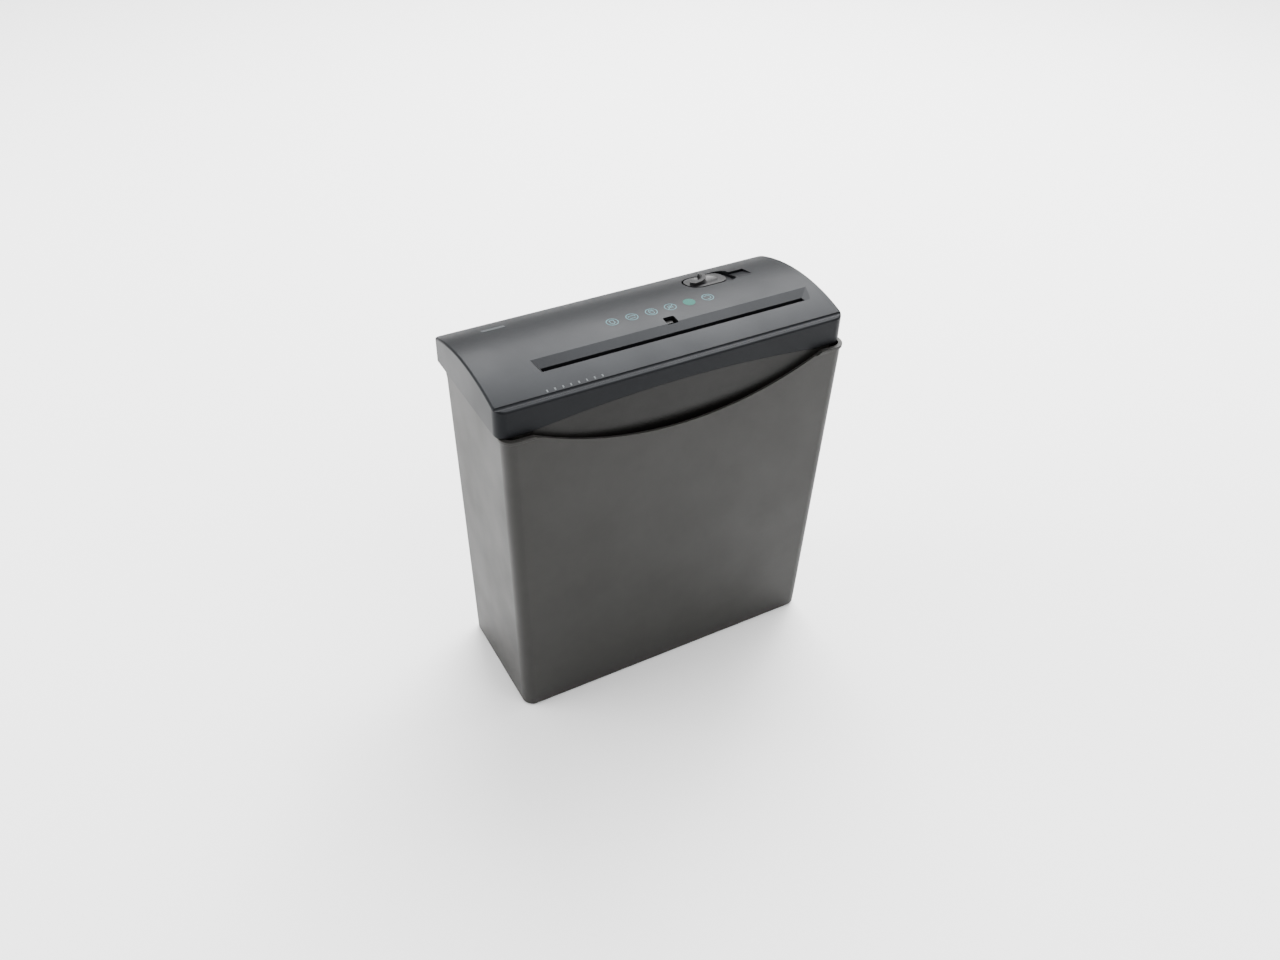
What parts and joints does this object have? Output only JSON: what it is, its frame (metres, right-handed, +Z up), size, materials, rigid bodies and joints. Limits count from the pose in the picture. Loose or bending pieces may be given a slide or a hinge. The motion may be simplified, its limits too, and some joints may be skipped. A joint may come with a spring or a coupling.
{
  "type": "paper shredder",
  "caption": "Strip-cut paper shredder: a motor-driven cutter head with a paper throat and a slide switch, standing on the rim of a tapered waste basket.",
  "frame": {"origin": "on the floor, under the centre of the shredder's outline", "axes": "+Z up, +X along the paper throat towards the slide switch's end, +Y towards the back"},
  "size_m": [0.2858, 0.12, 0.3074],
  "materials": {
    "basket_plastic": "fine matt texture",
    "black_wire": "insulation",
    "blue_wire": "insulation",
    "board_laminate": "paper laminate",
    "brass_post": "turned",
    "brown_wire": "insulation",
    "capacitor_case": "moulded",
    "carbon": "pressed",
    "comb_plastic": "moulded",
    "copper": "enamelled",
    "core_steel": "laminated",
    "cover_plastic": "satin",
    "cutter_steel": "ground",
    "fan_plastic": "moulded",
    "ferrite": "ground",
    "gear_nylon": "moulded",
    "gland_rubber": "matt",
    "guide_plastic": "moulded",
    "housing_plastic": "matt",
    "knob_plastic": "satin",
    "motor_cap_plastic": "moulded",
    "motor_steel": "zinc plated",
    "plate_steel": "zinc plated",
    "rectifier_case": "moulded",
    "red_wire": "insulation",
    "screw_steel": "zinc plated",
    "sensor_plastic": "moulded",
    "shaft_steel": "ground",
    "sintered_bronze": "sintered",
    "spacer_plastic": "moulded",
    "switch_plastic": "moulded",
    "terminal_plastic": "moulded"
  },
  "bodies": {
    "basket": {"waste_basket": "basket_plastic"},
    "rear_cutter": {"rear_cutter_shaft": "shaft_steel", "rear_cutter_discs": "cutter_steel", "rear_spacers": "spacer_plastic", "rear_shaft_clip": "screw_steel", "rear_sync_gear": "gear_nylon", "final_drive_gear": "gear_nylon"},
    "front_cutter": {"front_cutter_shaft": "shaft_steel", "front_cutter_discs": "cutter_steel", "front_spacers": "spacer_plastic", "front_shaft_clip": "screw_steel", "front_sync_gear": "gear_nylon"},
    "second_gear": {"second_compound_gear": "gear_nylon"},
    "first_gear": {"first_compound_gear": "gear_nylon"},
    "rotor": {"motor_shaft": "shaft_steel", "motor_pinion": "sintered_bronze", "motor_armature": "core_steel", "motor_windings": "copper", "motor_commutator": "copper", "motor_fan": "fan_plastic"},
    "switch_slide": {"mode_knob": "knob_plastic", "switch_carriage": "switch_plastic"},
    "sensor_lever": {"paper_sensor_lever": "sensor_plastic"},
    "head": {"black_motor_lead": "black_wire", "blue_switch_lead": "blue_wire", "board_standoffs": "brass_post", "bridge_rectifier": "rectifier_case", "brown_switch_lead": "brown_wire", "control_board": "board_laminate", "cord_gland": "gland_rubber", "filter_capacitor": "capacitor_case", "frame_screws": "screw_steel", "front_stripper_comb": "comb_plastic", "gear_pins": "shaft_steel", "gearbox_cover": "comb_plastic", "gearbox_screws": "screw_steel", "housing_screws": "screw_steel", "left_side_plate": "plate_steel", "lower_housing": "housing_plastic", "motor_brushes": "carbon", "motor_bushes": "sintered_bronze", "motor_can": "motor_steel", "motor_end_cap": "motor_cap_plastic", "motor_magnets": "ferrite", "motor_screws": "screw_steel", "rear_stripper_comb": "comb_plastic", "red_motor_lead": "red_wire", "right_side_plate": "plate_steel", "sensor_bracket": "guide_plastic", "sensor_pin": "shaft_steel", "sensor_spring": "screw_steel", "sensor_switch": "switch_plastic", "shaft_bushes": "sintered_bronze", "switch_body": "switch_plastic", "thermal_cutout": "rectifier_case", "throat_guide": "guide_plastic", "tie_rods": "shaft_steel", "top_cover": "cover_plastic", "wire_terminals": "terminal_plastic"}
  },
  "joints": [
    {"name": "head_lift", "type": "slide", "parent": "basket", "child": "head", "axis": [0, 0, 1], "range_m": [0, 0.06]},
    {"name": "rear_cutter_spin", "type": "hinge", "parent": "head", "child": "rear_cutter", "pos_m": [-0.0009, -0.01, 0.262], "axis": [1, 0, 0], "continuous": true},
    {"name": "front_cutter_spin", "type": "hinge", "parent": "head", "child": "front_cutter", "pos_m": [-0.0009, -0.034, 0.262], "axis": [1, 0, 0], "continuous": true},
    {"name": "second_gear_spin", "type": "hinge", "parent": "head", "child": "second_gear", "pos_m": [-0.0009, 0.01856, 0.26704], "axis": [1, 0, 0], "continuous": true},
    {"name": "first_gear_spin", "type": "hinge", "parent": "head", "child": "first_gear", "pos_m": [-0.0009, 0.03692, 0.28055], "axis": [1, 0, 0], "continuous": true},
    {"name": "rotor_spin", "type": "hinge", "parent": "head", "child": "rotor", "pos_m": [-0.0009, 0.0298, 0.266], "axis": [1, 0, 0], "continuous": true},
    {"name": "switch_travel", "type": "slide", "parent": "head", "child": "switch_slide", "axis": [1, 0, 0], "range_m": [0, 0.006]},
    {"name": "sensor_lever_tilt", "type": "hinge", "parent": "head", "child": "sensor_lever", "pos_m": [0.0132, -0.0085, 0.2915], "axis": [1, 0, 0], "range_deg": [0, 20], "stiffness_Nm_per_rad": 0.002, "springref_deg": -20.05}
  ],
  "couplings": [
    {"joint": "front_cutter_spin", "follows": "rear_cutter_spin", "ratio": -1},
    {"joint": "second_gear_spin", "follows": "rear_cutter_spin", "ratio": -3.8333},
    {"joint": "first_gear_spin", "follows": "rear_cutter_spin", "ratio": 14.375},
    {"joint": "rotor_spin", "follows": "rear_cutter_spin", "ratio": -50.312}
  ]
}
